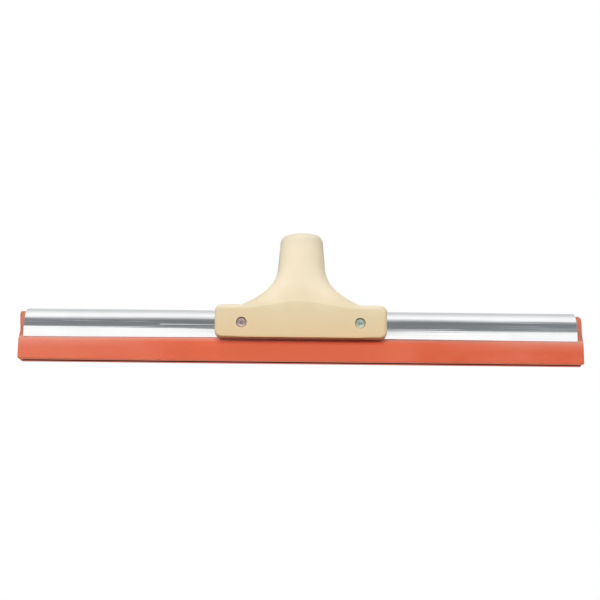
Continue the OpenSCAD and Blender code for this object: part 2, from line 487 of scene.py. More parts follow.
def cream_plastic():
    """Cream moulded plastic with a fine spark texture, faint flow marks and a parting line. It is painted
    paler upwards as light, with a painted highlight on the saddle's top edge and painted shade at its bottom
    edge and near the rim.
    """
    s = Shader("cream_plastic", Specular_IOR_Level=0.42, Subsurface_Weight=0.06, Subsurface_Scale=0.004)
    s.shader.inputs["Subsurface Radius"].default_value = SCATTER
    x, y, z = s.split(s.place())
    flow = s.noise(14, detail=3, stretch=(1, 1, 0.45), distortion=0.6)
    # Painted light: the plastic gets paler upwards, where the neck faces more of the light; flow marks are
    # added on top
    lit_up_and_flow = s.math("MULTIPLY", s.zone((z, *PAINTED_LIGHT_UP_Z)), PAINTED_LIGHT_UP)
    lit_up_and_flow = s.math("ADD", lit_up_and_flow, s.between(flow, -FLOW, FLOW, *NOISE_SPAN))
    colour = s.ramp(lit_up_and_flow, [(0.0, CREAM_WARM), (0.42, CREAM), (0.85, CREAM_PALE)])
    # Painted highlight along the rounded top edge of the saddle's shoulders, which faces the light
    colour = s.coat(colour, CREAM_EDGE_HIGHLIGHT, EDGE_HIGHLIGHT, (z, *EDGE_HIGHLIGHT_Z), (s.apart(x), *EDGE_HIGHLIGHT_X))
    # Painted shade along the saddle's bottom edge, where it overhangs the rubber
    colour = s.coat(colour, CREAM_UNDER_SHADE, UNDER_SHADE, (z, *UNDER_SHADE_Z))
    # Painted shade near the rim, which dims the highlight on its top
    colour = s.coat(colour, CREAM_RIM_SHADE, RIM_SHADE, (z, *RIM_SHADE_Z))
    specks = s.between(s.noise(900, detail=2), 0.0, 0.35, 0.66, 0.78)
    s.drive("Base Color", s.tint(specks, colour, CREAM_WARM))
    scuff = s.noise(60, detail=6, roughness=0.7, stretch=(1, 1, 3))
    s.drive("Roughness", s.between(scuff, 0.40, 0.56, *NOISE_SPAN))
    seam = s.bump(s.zone((s.apart(y), *SEAM_Y)), 0.5, 0.0002)
    grain = s.noise(2600, detail=3, roughness=0.6)
    s.drive("Normal", s.bump(grain, 0.16, 0.0002, seam))
    return s.material


def zinc_sheet():
    """Bright zinc plate on rolled sheet, with rolling streaks, one draw mark and a faint bloom."""
    s = Shader("zinc_sheet", Metallic=1.0)
    streak = s.noise(1.0, detail=5, roughness=0.7, stretch=(3, 420, 420))
    bloom = s.noise(26, detail=5, roughness=0.6)
    tone = s.math("ADD", s.math("MULTIPLY", streak, 0.5), s.math("MULTIPLY", bloom, 0.5))
    s.drive("Base Color", s.ramp(tone, [(0.3, ZINC_DULL), (0.52, ZINC)]))
    s.drive("Roughness", s.between(tone, 0.20, 0.10, *NOISE_SPAN))
    rolled = s.bump(s.noise(1.0, detail=3, stretch=(4, 300, 300)), 0.35, 0.0003)
    ridges = s.between(s.noise(1.0, detail=2, stretch=(7, 700, 700)), 0.0, 1.0, 0.56, 0.70)
    normal = s.bump(ridges, 0.42, 0.0001, rolled)
    x, y, z = s.split(s.place())
    line = s.zone((s.apart(z, DRAW_Z), DRAW_W / 2, 0), (x, *DRAW_IN), (x, *DRAW_OUT))
    line = s.math("MULTIPLY", line, s.math("LESS_THAN", y, 0.0))
    normal = s.bump(line, 0.6, 0.0001, normal)
    hairline = s.noise(1.0, detail=2, stretch=(18, 2600, 2600))
    s.drive("Normal", s.bump(hairline, 0.06, 0.0001, normal))
    return s.material


# Finish of the orange rubber: strength of each change, and the millimetres at which it is bare and full
# Left end: partly the rubber's bloom, partly painted light from the left
BLOOM_AND_LEFT_LIGHT = (0.54, 0.9)
BLOOM_AND_LEFT_LIGHT_X = (-LIP_HIGH[0] / 3, -LIP_HIGH[0])
# Beneath the saddle: painted light
UNDER_SADDLE_LIGHT = 0.8
UNDER_SADDLE_LIGHT_X = (SOCKET_HIGH[0] + 25, SOCKET_HIGH[0])
# Just under the saddle's edge: painted shadow
SADDLE_SHADOW = 0.92
SADDLE_SHADOW_Z = (SADDLE_LOW - 4.5, SADDLE_LOW - 0.5)
SADDLE_SHADOW_X = (SOCKET_HIGH[0] - 1, SOCKET_HIGH[0] - 5)
# Upper lips towards both ends: painted light
END_MOUTH_LIGHT = 0.22
END_MOUTH_LIGHT_Z = (MOUTH_Z - 9, MOUTH_Z - 1)
END_MOUTH_LIGHT_X = (110, 180)
# Just under the channel's mouth: painted light reflected from the skirt
MOUTH_LIGHT_SPAN = (0.25, 0.62)
MOUTH_LIGHT_POWER = 1.7
MOUTH_LIGHT_UP = (MOUTH_Z - 4, MOUTH_Z)
MOUTH_LIGHT_DOWN = (MOUTH_Z + 1, MOUTH_Z + 0.2)
MOUTH_LIGHT_Y = (LIP_HIGH[1] - 0.9, LIP_HIGH[1] - 0.3)
# Where that painted light is weakest
MOUTH_LIGHT_DIM_AT = LIP_HIGH[0] * 0.4
MOUTH_LIGHT_DIM_X = (40, 120)
# Under the sheet's edge, right of the saddle: painted shadow line
EDGE_SHADOW = 0.9
EDGE_SHADOW_Z = (MOUTH_Z - 2.4, MOUTH_Z - 1.0)
EDGE_SHADOW_MIDDLE = 107
EDGE_SHADOW_X = (55, 36)
WORN_X = (CHANNEL_END - 5, CHANNEL_END - 2)
WORN_Z = (MOUTH_Z - 3, MOUTH_Z + 5)
PORE_TINT = 0.35


def orange_rubber():
    """Matt orange cellular rubber with mottling and open pores. Paler at the left end, partly bloom and
    partly painted light; painted light beneath the saddle, at the ends and just under the channel's mouth;
    painted shadow under the saddle's edge and the sheet's edge.
    """
    s = Shader("orange_rubber", Specular_IOR_Level=0.3, Sheen_Weight=0.08, Sheen_Roughness=0.5)
    x, y, z = s.split(s.place())
    aside = s.apart(x)
    mottle = s.noise(38, detail=6, roughness=0.62, stretch=(0.5, 1, 1))
    colour = s.ramp(mottle, [(0.28, RUBBER_DEEP), (0.5, RUBBER), (0.92, RUBBER_BLOOM)])
    # Paler in patches towards the left end: partly bloom, partly painted light falling from the left
    colour = s.coat(colour, RUBBER_BLOOM, s.between(mottle, *BLOOM_AND_LEFT_LIGHT, *NOISE_SPAN), (x, *BLOOM_AND_LEFT_LIGHT_X))
    # Painted light on the rubber beneath the saddle, which lifts the shade the saddle casts there
    colour = s.coat(colour, RUBBER_LIT_UNDER_SADDLE, UNDER_SADDLE_LIGHT, (aside, *UNDER_SADDLE_LIGHT_X))
    # Painted shadow on the rubber just under the saddle's bottom edge
    colour = s.coat(colour, RUBBER_SADDLE_SHADOW, SADDLE_SHADOW, (z, *SADDLE_SHADOW_Z), (aside, *SADDLE_SHADOW_X))
    # Painted light on the upper part of the lips towards both ends, paler nearer the channel's mouth
    colour = s.coat(colour, RUBBER_REFLECTED_LIGHT, END_MOUTH_LIGHT, (z, *END_MOUTH_LIGHT_Z), (aside, *END_MOUTH_LIGHT_X))
    # Painted light reflected from the channel's skirt onto the outer faces just under the mouth, weaker right
    # of the middle
    mouth = s.zone((z, *MOUTH_LIGHT_UP), (z, *MOUTH_LIGHT_DOWN), (s.apart(y), *MOUTH_LIGHT_Y))
    mouth_light_strength = s.between(s.zone((s.apart(x, MOUTH_LIGHT_DIM_AT), *MOUTH_LIGHT_DIM_X)), *MOUTH_LIGHT_SPAN)
    mouth_light = s.math("MULTIPLY", s.math("POWER", mouth, MOUTH_LIGHT_POWER), mouth_light_strength)
    colour = s.tint(mouth_light, colour, RUBBER_REFLECTED_LIGHT)
    # Painted shadow line on the rubber just under the sheet's edge, right of the saddle
    colour = s.coat(colour, RUBBER_EDGE_SHADOW, EDGE_SHADOW, (z, *EDGE_SHADOW_Z), (s.apart(x, EDGE_SHADOW_MIDDLE), *EDGE_SHADOW_X))
    colour = s.coat(colour, RUBBER_WORN, 1.0, (aside, *WORN_X), (z, *WORN_Z))
    cells = s.node("ShaderNodeTexVoronoi", {"Vector": s.place(), "Scale": 1500.0}).outputs["Distance"]
    pore = s.between(cells, 1.0, 0.0, 0.05, 0.28)
    s.drive("Base Color", s.tint(s.math("MULTIPLY", pore, PORE_TINT), colour, RUBBER_DEEP))
    s.drive("Roughness", s.between(mottle, 0.82, 0.66, *NOISE_SPAN))
    skin = s.bump(s.noise(700, detail=4, roughness=0.65), 0.22, 0.0003)
    s.drive("Normal", s.bump(pore, 0.35, -0.00025, skin))
    return s.material


def core_rubber():
    """Dark grey spacer rubber with a little dust on it."""
    s = Shader("core_rubber", Specular_IOR_Level=0.3)
    dust = s.noise(90, detail=6, roughness=0.7)
    s.drive("Base Color", s.ramp(dust, [(0.35, CORE_GREY), (0.7, CORE_DUST)]))
    s.drive("Roughness", s.between(dust, 0.6, 0.85))
    s.drive("Normal", s.bump(s.noise(800), 0.25, 0.0003))
    return s.material


def passivated_steel():
    """Zinc plated fastener steel, whose passivation drifts from pinkish at the left to greenish."""
    s = Shader("passivated_steel", Metallic=1.0)
    x = s.split(s.place())[0]
    cloud = s.between(s.noise(420, detail=4), -0.15, 0.15)
    hue = s.math("ADD", s.zone((x, -SCREW_X, SCREW_X)), cloud)
    s.drive("Base Color", s.ramp(hue, [(0.1, PASSIVE_PINK), (0.9, PASSIVE_GREEN)]))
    s.drive("Roughness", s.between(s.noise(900, detail=5), 0.28, 0.5))
    s.drive("Normal", s.bump(s.noise(2400), 0.12, 0.0001))
    return s.material


# Channel

def channel_path():
    """Outer surface of the folded sheet, from the front mouth over the back to the rear mouth, as (y, z)."""
    slope = math.atan2(PINCH, SKIRT_H)
    tangent = CREASE_BEND * math.tan(slope / 2)
    low = np.array([-MOUTH_HALF, MOUTH_Z])
    crease = np.array([-CHANNEL_HALF, CREASE_Z])
    upward = np.array([-math.sin(slope), math.cos(slope)])
    bend_centre = crease + np.array([CREASE_BEND, tangent])
    skirt = [low + upward * step for step in np.linspace(0, np.linalg.norm(crease - low) - tangent, 8)]
    bend = [bend_centre + CREASE_BEND * np.array([-math.cos(a), -math.sin(a)])
            for a in np.linspace(slope, 0, 5)[1:]]
    flat = [np.array([-CHANNEL_HALF, z]) for z in np.linspace(CREASE_Z + tangent, ROUND_Z, 6)[1:]]
    back = [np.array([-CHANNEL_HALF * math.cos(a), ROUND_Z + CHANNEL_HALF * math.sin(a)])
            for a in quarter(20)[1:]]
    half = np.array(skirt + bend + flat + back)
    return np.concatenate([half, (half * (-1, 1))[-2::-1]])


def left_of(steps):
    """Unit normals on the left of steps along an outline, seen with y to the right and z up."""
    normals = np.stack([-steps[:, 1], steps[:, 0]], axis=1)
    return normals / np.linalg.norm(normals, axis=1)[:, None]


def outline_normals(outline):
    """Outward normals of a closed outline that runs clockwise."""
    return left_of(np.roll(outline, -1, axis=0) - np.roll(outline, 1, axis=0))


def cut_edge(start, end):
    """Points of a rounded cut edge of the sheet, from its one face to the other."""
    middle, half = (start + end) / 2, (start - end) / 2
    down = np.array([0, -SHEET_T / 3])
    turns = np.linspace(0, math.pi, 7)[1:-1]
    return np.array([middle + half * math.cos(a) + down * math.sin(a) for a in turns])


def channel_outline():
    """Closed section of the sheet, with rounded cut edges at the mouth."""
    outer = channel_path()
    inner = outer - SHEET_T * left_of(np.gradient(outer, axis=0))
    return np.concatenate([outer, cut_edge(outer[-1], inner[-1]), inner[::-1], cut_edge(inner[0], outer[0])])


def dent_at(x, phases):
    """Height of the sheet's faint dents at a place along it."""
    waves = [math.sin(x * DENT_TURN * (n + DENT_FIRST) + phase) / (n + 1) for n, phase in enumerate(phases)]
    return DENT * sum(waves)


def channel_ring(section, x, dent):
    """Section of the sheet at a place along it, dented, bowed at the mouth and slanted at the ends."""
    z = section[:, 1]
    along = x * (1 - CHANNEL_SLANT * (z - MOUTH_Z) / CHANNEL_REACH) + CHANNEL_SHIFT
    up_skirt = np.clip((z - MOUTH_Z) / SKIRT_H, 0, 1)
    bow = MOUTH_LIFT * max(0, 1 - abs(x) / MOUTH_BOW)
    near_crease = up_skirt * np.clip((ROUND_Z - z) / (ROUND_Z - CREASE_Z), 0, 1)
    rise = dent * up_skirt + bow * (1 - up_skirt) + CREASE_TILT * x * near_crease
    return np.column_stack([along, section[:, 0], z + rise])


def make_channel(material):
    """Folded sheet with faint dents, eased ends and screw holes."""
    outline = channel_outline()
    normals = outline_normals(outline)
    phases = np.random.default_rng(SEED).uniform(0, 2 * math.pi, DENT_WAVES)
    inner = CHANNEL_REACH - CHANNEL_INNER
    eased = CHANNEL_REACH - CHANNEL_EASE
    rings = []
    for x in [-CHANNEL_REACH, -eased, *np.linspace(-inner, inner, 111), eased, CHANNEL_REACH]:
        inset = CHANNEL_EASE if abs(x) == CHANNEL_REACH else 0
        rings.append(channel_ring(outline - inset * normals, x, dent_at(x, phases)))
    top = max(ring[:, 2].max() for ring in rings)
    lift = min(0, CHANNEL_HIGH[2] - top)
    obj = new_object("channel_sheet", *loft([ring + (0, 0, lift) for ring in rings]))
    boolean(obj, screw_drill())
    finish_piece(obj, material, ["channel"])
    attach(obj, "frame")


# Rubber blades

def root_half(z):
    """Outer half-width of a clamped root at a height, inside the channel."""
    inside = CHANNEL_HALF - SHEET_T - BLADE_FIT
    skirt = inside - PINCH * np.clip((CREASE_Z - z) / SKIRT_H, 0, 1)
    back = np.sqrt(np.maximum(inside ** 2 - np.maximum(z - ROUND_Z, 0) ** 2, 0))
    return np.minimum(skirt, back)


def blade_half(z):
    """Outer half-width of a whole blade at a height: the lip below, easing into the root at the mouth."""
    lip = LIP_HIGH[1]
    ease = np.clip((z - FLEX_Z + LIP_EASE) / (MOUTH_Z - FLEX_Z + LIP_EASE), 0, 1)
    bulge = LIP_BULGE * np.sin(math.pi * np.clip(z / MOUTH_Z, 0, 1) ** BULGE_POWER) ** 2
    return np.where(z < MOUTH_Z, lip + bulge + (root_half(MOUTH_Z) - lip) * ease ** 2, root_half(z))


def blade_outline(edge):
    """Closed section of the rear blade as (y, z), up the inner face and down the outer one.

    The radius of the lip's edges is given, because they are more worn at one end.
    """
    inner_y, outer_y, top = LIP_LOW[1], LIP_HIGH[1], ROOT_TOP
    ease = quarter(5)
    rises = np.concatenate([np.arange(*span) for span in BLADE_RISES])
    corner_in = [(inner_y + edge * (1 - math.sin(a)), edge * (1 - math.cos(a))) for a in ease]
    face_in = [(inner_y, z) for z in rises]
    top_in = [(inner_y + ROOT_EDGE * (1 - math.cos(a)), top - ROOT_EDGE * (1 - math.sin(a))) for a in ease]
    shoulder = float(blade_half(np.array(top - ROOT_EDGE)))
    top_out = [(shoulder - ROOT_EDGE * (1 - math.sin(a)) - ROOT_EDGE / 2 * math.cos(a),
                top - ROOT_EDGE * (1 - math.cos(a))) for a in ease]
    face_out = [(float(blade_half(np.array(z))), z) for z in rises[::-1]]
    corner_out = [(outer_y - edge * (1 - math.cos(a)), edge * (1 - math.sin(a))) for a in ease]
    return np.array(corner_in + face_in + top_in + top_out + face_out + corner_out)


def blade_end(z, side):
    """Length of a blade from the middle to one end at a height."""
    corners = rounding(z, LIP_CORNER) + rounding(ROOT_TOP - z, TOP_CORNER[side])
    rise = np.clip((z - MOUTH_Z + SPLAY_BELOW) / SPLAY_H, 0, 1)
    lean = END_LEAN[side] * np.maximum(z - MOUTH_Z - LEAN_ABOVE, 0)
    slant = END_SLANT[side] * np.minimum(z, MOUTH_Z) + lean
    return LIP_HIGH[0] - slant - END_SPLAY[side] * rise ** 2 * (3 - 2 * rise) - corners


def end_rings(outline, side):
    """Rings of a blade's rounded end, from the end inwards."""
    normals = outline_normals(outline)
    end = side * blade_end(outline[:, 1], side)
    return [np.column_stack([end - side * END_EDGE * (1 - math.sin(a)),
                             outline - END_EDGE * (1 - math.cos(a)) * normals]) for a in quarter(4)[::-1]]


def make_blade(name, mirror, nodes, material):
    """One unbroken rubber strip: its root sits in the channel and its lip reaches out below it."""
    keen, worn = blade_outline(LIP_KEEN), blade_outline(LIP_WORN)
    rings = end_rings(worn, -1)
    for share in np.linspace(0, 1, 121)[1:-1]:
        outline = keen + (worn - keen) * max(0, 1 - share / WEAR_LENGTH)
        left = -blade_end(outline[:, 1], -1) + END_EDGE
        right = blade_end(outline[:, 1], 1) - END_EDGE
        rings.append(np.column_stack([left + (right - left) * share, outline]))
    rings += end_rings(keen, 1)[::-1]
    points, faces = loft(rings)
    obj = new_object(name, points * (1, mirror, 1), faces)
    boolean(obj, screw_drill())
    finish_piece(obj, material, nodes, sharp_degrees=50)
    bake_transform(obj)


def make_core(material):
    """Spacer strip between the roots, with eased edges."""
    low, high, ease = CORE_LOW, CORE_HIGH, CORE_EDGE
    corners = [(high[1], low[2], 270), (high[1], high[2], 0), (low[1], high[2], 90), (low[1], low[2], 180)]
    outline = []
    for y, z, turn in corners:
        centre = np.array([y - math.copysign(ease, y), z + (ease if z == low[2] else -ease)])
        for a in np.radians(turn + np.linspace(0, 90, 5)):
            outline.append(centre + ease * np.array([math.cos(a), math.sin(a)]))
    rings = [np.insert(np.array(outline), 0, x, axis=1) for x in np.linspace(low[0], high[0], 60)]
    obj = new_object("core_spacer", *loft(rings))
    boolean(obj, screw_drill())
    finish_piece(obj, material, ["core_strip"])
    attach(obj, "frame")


# Handle socket

def rect_radius(turn, half_x, half_y, corner):
    """Distance from the centre to a rounded rectangle in each direction."""
    c, s = np.abs(np.cos(turn)), np.abs(np.sin(turn))
    to_x, to_y = half_x / np.maximum(c, TINY), half_y / np.maximum(s, TINY)
    centre_x, centre_y = half_x - corner, half_y - corner
    along = c * centre_x + s * centre_y
    to_arc = along + np.sqrt(np.maximum(along ** 2 - centre_x ** 2 - centre_y ** 2 + corner ** 2, 0))
    return np.where(s * to_x <= centre_y, to_x, np.where(c * to_y <= centre_x, to_y, to_arc))


def saddle_radius(turn, z):
    """Saddle's outline at a height, drawn in at its rounded edges and corners."""
    below, above = z - SADDLE_LOW, SADDLE_TOP - z
    half_x = SOCKET_HIGH[0] - rounding(below, CORNER_BOTTOM) - rounding(above, CORNER_TOP)
    half_y = SOCKET_HIGH[1] - rounding(below, EDGE_BOTTOM) - rounding(above, EDGE_TOP)
    return rect_radius(turn, half_x, half_y, PLAN_CORNER)


def neck_radius(turn, z):
    """Neck's outline at a height: a rounded cone that flares out towards the saddle."""
    below = SOCKET_HIGH[2] - z
    left = min(max(0.0, 1 - (z - SADDLE_TOP) / FLARE_H), FLARE_LOW)
    half_x = RIM_R + below * math.tan(NECK_DRAFT) + FLARE_OUT * left ** FLARE_POWER
    half_y = RIM_R + below * FACE_DRAFT + FACE_FLARE * left ** FACE_POWER
    power = 2 + (FOOT_POWER - 2) * left
    c, s = np.abs(np.cos(turn)) / half_x, np.abs(np.sin(turn)) / half_y
    return (c ** power + s ** power) ** (-1 / power)


def softer_max(a, b):
    """Larger of two lengths, with a small fillet where they are close."""
    near = np.maximum(BLEND - np.abs(a - b), 0) / BLEND
    return np.maximum(a, b) + near ** 2 * BLEND / 4


def body_radius(turn, z):
    """Outline of the saddle and the neck together at a height."""
    return softer_max(saddle_radius(turn, z), neck_radius(turn, z))


def socket_angles(count):
    """Directions round the socket, closer together along the saddle's ends and at its corners."""
    turn = np.linspace(0, 2 * math.pi, 14401)
    radius = rect_radius(turn, SOCKET_HIGH[0], SOCKET_HIGH[1], PLAN_CORNER)
    perimeter = np.hypot(np.gradient(radius, turn), radius)
    corner = math.atan2(SOCKET_HIGH[1], SOCKET_HIGH[0])
    folded = np.abs((turn + math.pi / 2) % math.pi - math.pi / 2)
    cluster = np.exp(-((folded - corner) / CORNER_WIDTH) ** 2)
    density = (SPREAD_EVEN / turn.size + SPREAD_LENGTH * perimeter / perimeter.sum()
               + SPREAD_CORNER * cluster / cluster.sum())
    share = np.cumsum(density)
    return np.interp(np.arange(count) / count * share[-1], share, turn)


def socket_ring(turn, radius, z):
    """Ring of the socket, kept between its front and rear faces. The rim's rings tilt down to the left."""
    radius = np.minimum(radius, SOCKET_HIGH[1] / np.maximum(np.abs(np.sin(turn)), TINY))
    x = radius * np.cos(turn)
    in_rim = min(max(0.0, (z - RIM_LOW) / RIM_H), 1.0)
    drop = RIM_TILT * in_rim * np.clip((RIM_R - x) / (2 * RIM_R), 0, 1)
    return np.stack([x, radius * np.sin(turn), z - drop], axis=1)


def saddle_rings(turn):
    """Rings from the saddle's underside up its walls to its rounded top edge."""
    low, high = SADDLE_LOW, SADDLE_TOP
    arc = 1 - np.cos(quarter(7))
    walls = np.linspace(low + CORNER_BOTTOM + WALL_START, high - EDGE_TOP, 7)
    rises = np.concatenate([low + EDGE_BOTTOM * arc, low + CORNER_BOTTOM * arc[2:], high - CORNER_TOP * arc,
                            high - EDGE_TOP * arc, walls])
    return [socket_ring(turn, body_radius(turn, z), z) for z in np.unique(np.round(rises, 4))]


def fillet_rings(turn):
    """Rings in across the saddle's top and up the fillet at the neck's foot."""
    high = SADDLE_TOP
    edge, foot = body_radius(turn, high), neck_radius(turn, high)
    risen = neck_radius(turn, high + FILLET_RISE)
    brink = foot + np.clip((edge - foot) * FILLET_SHARE, 0, FILLET_OUT)
    rings = [socket_ring(turn, edge + (brink - edge) * share, high) for share in np.linspace(0, 1, 6)[1:]]
    for t in np.linspace(0, 1, 9)[1:]:
        curve = (1 - t) ** 2 * brink + 2 * t * (1 - t) * foot + t ** 2 * risen
        rings.append(socket_ring(turn, curve, high + FILLET_RISE * t ** 2))
    return rings


def neck_rings(turn):
    """Rings up the flare and the straight part of the neck."""
    steps = np.linspace(0, 1, 26)[1:] ** FLARE_SPACING
    flare = SADDLE_TOP + FILLET_RISE + (FLARE_H - FILLET_RISE) * steps
    straight = np.linspace(SADDLE_TOP + FLARE_H, RIM_LOW, 8)[1:]
    return [socket_ring(turn, neck_radius(turn, z), z) for z in np.concatenate([flare, straight])]


def rim_rings(turn):
    """Rings over the rounded rim and down the bore."""
    top, mouth = SOCKET_HIGH[2], BORE_R + RIM_LIP
    shoulder = neck_radius(turn, RIM_LOW)
    rings = [socket_ring(turn, mouth + (shoulder - mouth) * math.cos(a), RIM_LOW + RIM_H * math.sin(a))
             for a in quarter(12)[1:]]
    rings += [socket_ring(turn, BORE_R + RIM_LIP * (1 - math.sin(a)), top - RIM_LIP * (1 - math.cos(a)))
              for a in quarter(5)]
    return rings + [socket_ring(turn, BORE_R, z) for z in np.linspace(top - RIM_LIP, top - BORE_DEPTH, 9)[1:]]


def socket_rings():
    """All rings of the socket, from the saddle's underside to the bottom of the bore."""
    turn = socket_angles(RING_SIDES)
    return saddle_rings(turn) + fillet_rings(turn) + neck_rings(turn) + rim_rings(turn)


def slot_cutter():
    """Slot over the channel, open below."""
    half = CHANNEL_HALF + SLOT_FIT
    back = [(half * math.cos(a), ROUND_Z + half * math.sin(a)) for a in np.linspace(0, math.pi, 65)]
    bottom = SOCKET_LOW[2] - SLOT_OVER
    outline = np.array([(half, bottom)] + back + [(-half, bottom)])
    reach = SOCKET_HIGH[0] + SLOT_OVER
    return new_object("slot", *loft([np.insert(outline, 0, x, axis=1) for x in (-reach, reach)]))


def seat_cutters(side):
    """Recess with an eased lip for a screw head, and hexagon pocket for a nut."""
    face, inside = SOCKET_HIGH[1], CHANNEL_HALF - DRILL_OVER
    front = [(RECESS_R + RECESS_LIP, -face - SEAT_OVER)]
    front += [(RECESS_R + RECESS_LIP * (1 - math.sin(a)), -face + RECESS_LIP * (1 - math.cos(a)))
              for a in quarter(5)]
    front += [(RECESS_R, HEAD_SEAT), (HOLE_R, HEAD_SEAT), (HOLE_R, -inside)]
    hex_r = ((NUT_HIGH[2] - NUT_LOW[2]) / 2 + NUT_PLAY) * HEX
    rear = lathe([(hex_r, NUT_LOW[1]), (hex_r, face + SEAT_OVER)], 6)
    hole = lathe([(HOLE_R, inside), (HOLE_R, NUT_LOW[1] + HOLE_OVER)], 48)
    return [screw_object("seat", rings, side) for rings in (lathe(front, 64), rear, hole)]


def make_socket(material):
    """One moulding: saddle, flare, neck and bore, with the slot and the fasteners' seats cut in it."""
    obj = new_object("pole_socket", *loft(socket_rings()))
    boolean(obj, [slot_cutter()] + seat_cutters(-1) + seat_cutters(1))
    finish_piece(obj, material, ["handle_socket"])
    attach(obj, "frame")


# Screws and nuts

def thread_rings(start, end):
    """Rings of a screw thread along Z, with its tip eased."""
    turn = np.linspace(0, 2 * math.pi, THREAD_SIDES, endpoint=False)
    rings = []
    for z in np.linspace(start, end, int((end - start) / THREAD_PITCH * RINGS_PER_TURN) + 1):
        phase = (z / THREAD_PITCH - turn / (2 * math.pi)) % 1
        depth = THREAD_DEPTH * np.clip(np.abs(phase - 0.5) * THREAD_STEEP - THREAD_CREST, 0, 1)
        tip = max(0.0, THREAD_PITCH - (end - z)) * TIP_TAPER
        r = SCREW_R - np.maximum(depth, tip)
        rings.append(np.stack([r * np.cos(turn), r * np.sin(turn), np.full(THREAD_SIDES, z)], axis=1))
    return rings


def cross_cutters(side):
    """Two tapered blades that leave a cross recess in a head."""
    tilt = math.radians(CROSS_TURN * side)
    turned = np.array([(math.cos(tilt), math.sin(tilt)), (-math.sin(tilt), math.cos(tilt))])
    cutters = []
    for crosswise in (False, True):
        rings = []
        for x, width, depth in (CROSS_MOUTH, CROSS_FLOOR):
            y = width / 2
            corners = np.array([(-x, -y), (x, -y), (x, y), (-x, y)])
            if crosswise:
                corners = corners[:, ::-1] * (-1, 1)
            rings.append(np.insert(corners @ turned, 2, HEAD_SEAT - HEAD_H + depth, axis=1))
        cutters.append(screw_object("cross", rings, side))
    return cutters


def make_screw(name, side, node, material):
    """Pan-head screw: threaded shank, domed head and cross recess."""
    dome_h = HEAD_H - HEAD_RIM
    dome_r = (HEAD_R ** 2 + dome_h ** 2) / (2 * dome_h)
    face, core_r = HEAD_SEAT - HEAD_H, SCREW_R - THREAD_DEPTH
    rises = np.linspace(DOME_ENDS[0], math.asin(HEAD_R / dome_r) - DOME_ENDS[1], 9)
    head = [(dome_r * math.sin(a), face + dome_r * (1 - math.cos(a))) for a in rises]
    head += [(HEAD_R, face + dome_h + DOME_EASE), (HEAD_R, HEAD_SEAT - HEAD_EASE)]
    head += [(HEAD_R - HEAD_EASE, HEAD_SEAT), (core_r, HEAD_SEAT), (core_r, HEAD_SEAT + UNDERCUT)]
    shank = thread_rings(HEAD_SEAT + UNDERCUT, SCREW_HIGH[1])
    obj = screw_object(name, lathe(head, THREAD_SIDES) + shank, side)
    boolean(obj, cross_cutters(side))
    finish_piece(obj, material, [node], sharp_degrees=38)
    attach(obj, "frame")


def make_nut(name, side, node, material):
    """Hexagon nut with chamfered corners and a chamfered bore."""
    low, high = NUT_LOW[1], NUT_HIGH[1]
    flats = (NUT_HIGH[2] - NUT_LOW[2]) / 2
    hex_r = flats * HEX
    face_r, corner_r = flats * NUT_FACE, hex_r * NUT_CORNER
    drop = (hex_r - flats) * NUT_CHAMFER
    obj = screw_object(name, lathe([(hex_r, low), (hex_r, high)], 6), side)
    chamfer = [(face_r, low), (corner_r, low + drop), (corner_r, high - drop), (face_r, high)]
    boolean(obj, [screw_object("chamfer", lathe(chamfer, 64), side)], "INTERSECT")
    wide = NUT_BORE_R + 2 * NUT_MOUTH
    bore = [(wide, low - NUT_MOUTH), (NUT_BORE_R, low + NUT_MOUTH), (NUT_BORE_R, high - NUT_MOUTH),
            (wide, high + NUT_MOUTH)]
    boolean(obj, [screw_object("bore", lathe(bore, 48), side)])
    finish_piece(obj, material, [node])
    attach(obj, "frame")


# Stage: camera, floor, studio and lamps

def towards(azimuth, elevation):
    """Direction from the object to a place round it, where azimuth 0 is in front."""
    level = math.cos(elevation)
    return Vector((math.sin(azimuth) * level, -math.cos(azimuth) * level, math.sin(elevation)))


def make_camera():
    """Camera at the photograph's viewing angle, a little below the floor's level."""
    back = towards(CAMERA_AZIMUTH, CAMERA_ELEVATION)
    data = bpy.data.cameras.new("photo_camera")
    data.sensor_width = SENSOR_MM
    data.lens = SENSOR_MM * FOCAL_PX / PHOTO_PX
    data.clip_start = CAMERA_NEAR
    camera = bpy.data.objects.new("photo_camera", data)
    bpy.context.scene.collection.objects.link(camera)
    facing = (-back).to_track_quat("-Z", "Y").to_matrix().to_4x4()
    camera.matrix_world = (Matrix.Translation(CAMERA_TARGET + back * CAMERA_DISTANCE) @ facing
                           @ Matrix.Rotation(CAMERA_ROLL, 4, "Z"))
    bpy.context.scene.camera = camera


# Floor: its width and where it fades to white in metres, and its height in millimetres
FLOOR_SIZE = 12.0
FLOOR_PALE = (0.80, 0.80, 0.79)
FLOOR_BOUNCE = (0.22, 0.22, 0.22)
FLOOR_FADE = (0.45, 1.3)
FLOOR_SHEEN = 1.0
FLOOR_Z = 0.05

# Light that metal sees from the front, over the top, to the back: (degrees, level)
STUDIO = [
    (0, 0.225), (10, 0.215), (16, 0.20), (22, 0.23), (28, 0.35), (34, 0.54), (41, 0.80), (49, 0.96),
    (56, 1.0), (66, 0.99), (78, 0.93), (90, 0.84), (103, 0.71), (120, 0.63), (142, 0.70), (154, 0.5),
    (163, 0.25), (180, 0.25)
]
STUDIO_COOL = (1.06, 1.015, 0.985)
HORIZON_TOP = 0.2
HORIZON = (0.10, 0.105, 0.11)
WORLD_FILL = (0.22, 0.22, 0.225)
WORLD_UNDER = (0.75, 0.75, 0.75)

# Dark stand that metal sees at both sides of the socket: its edges, its rise in degrees, its strip of floor
STAND_INSIDE = (0.047, 0.056)
STAND_FADE = (0.056, 0.13)
STAND_RISE = 27.0
STAND_DARK = (0.05, 0.05, 0.047)
STAND_FLOOR = (0.08, 0.16)
STAND_SHADE = 0.85

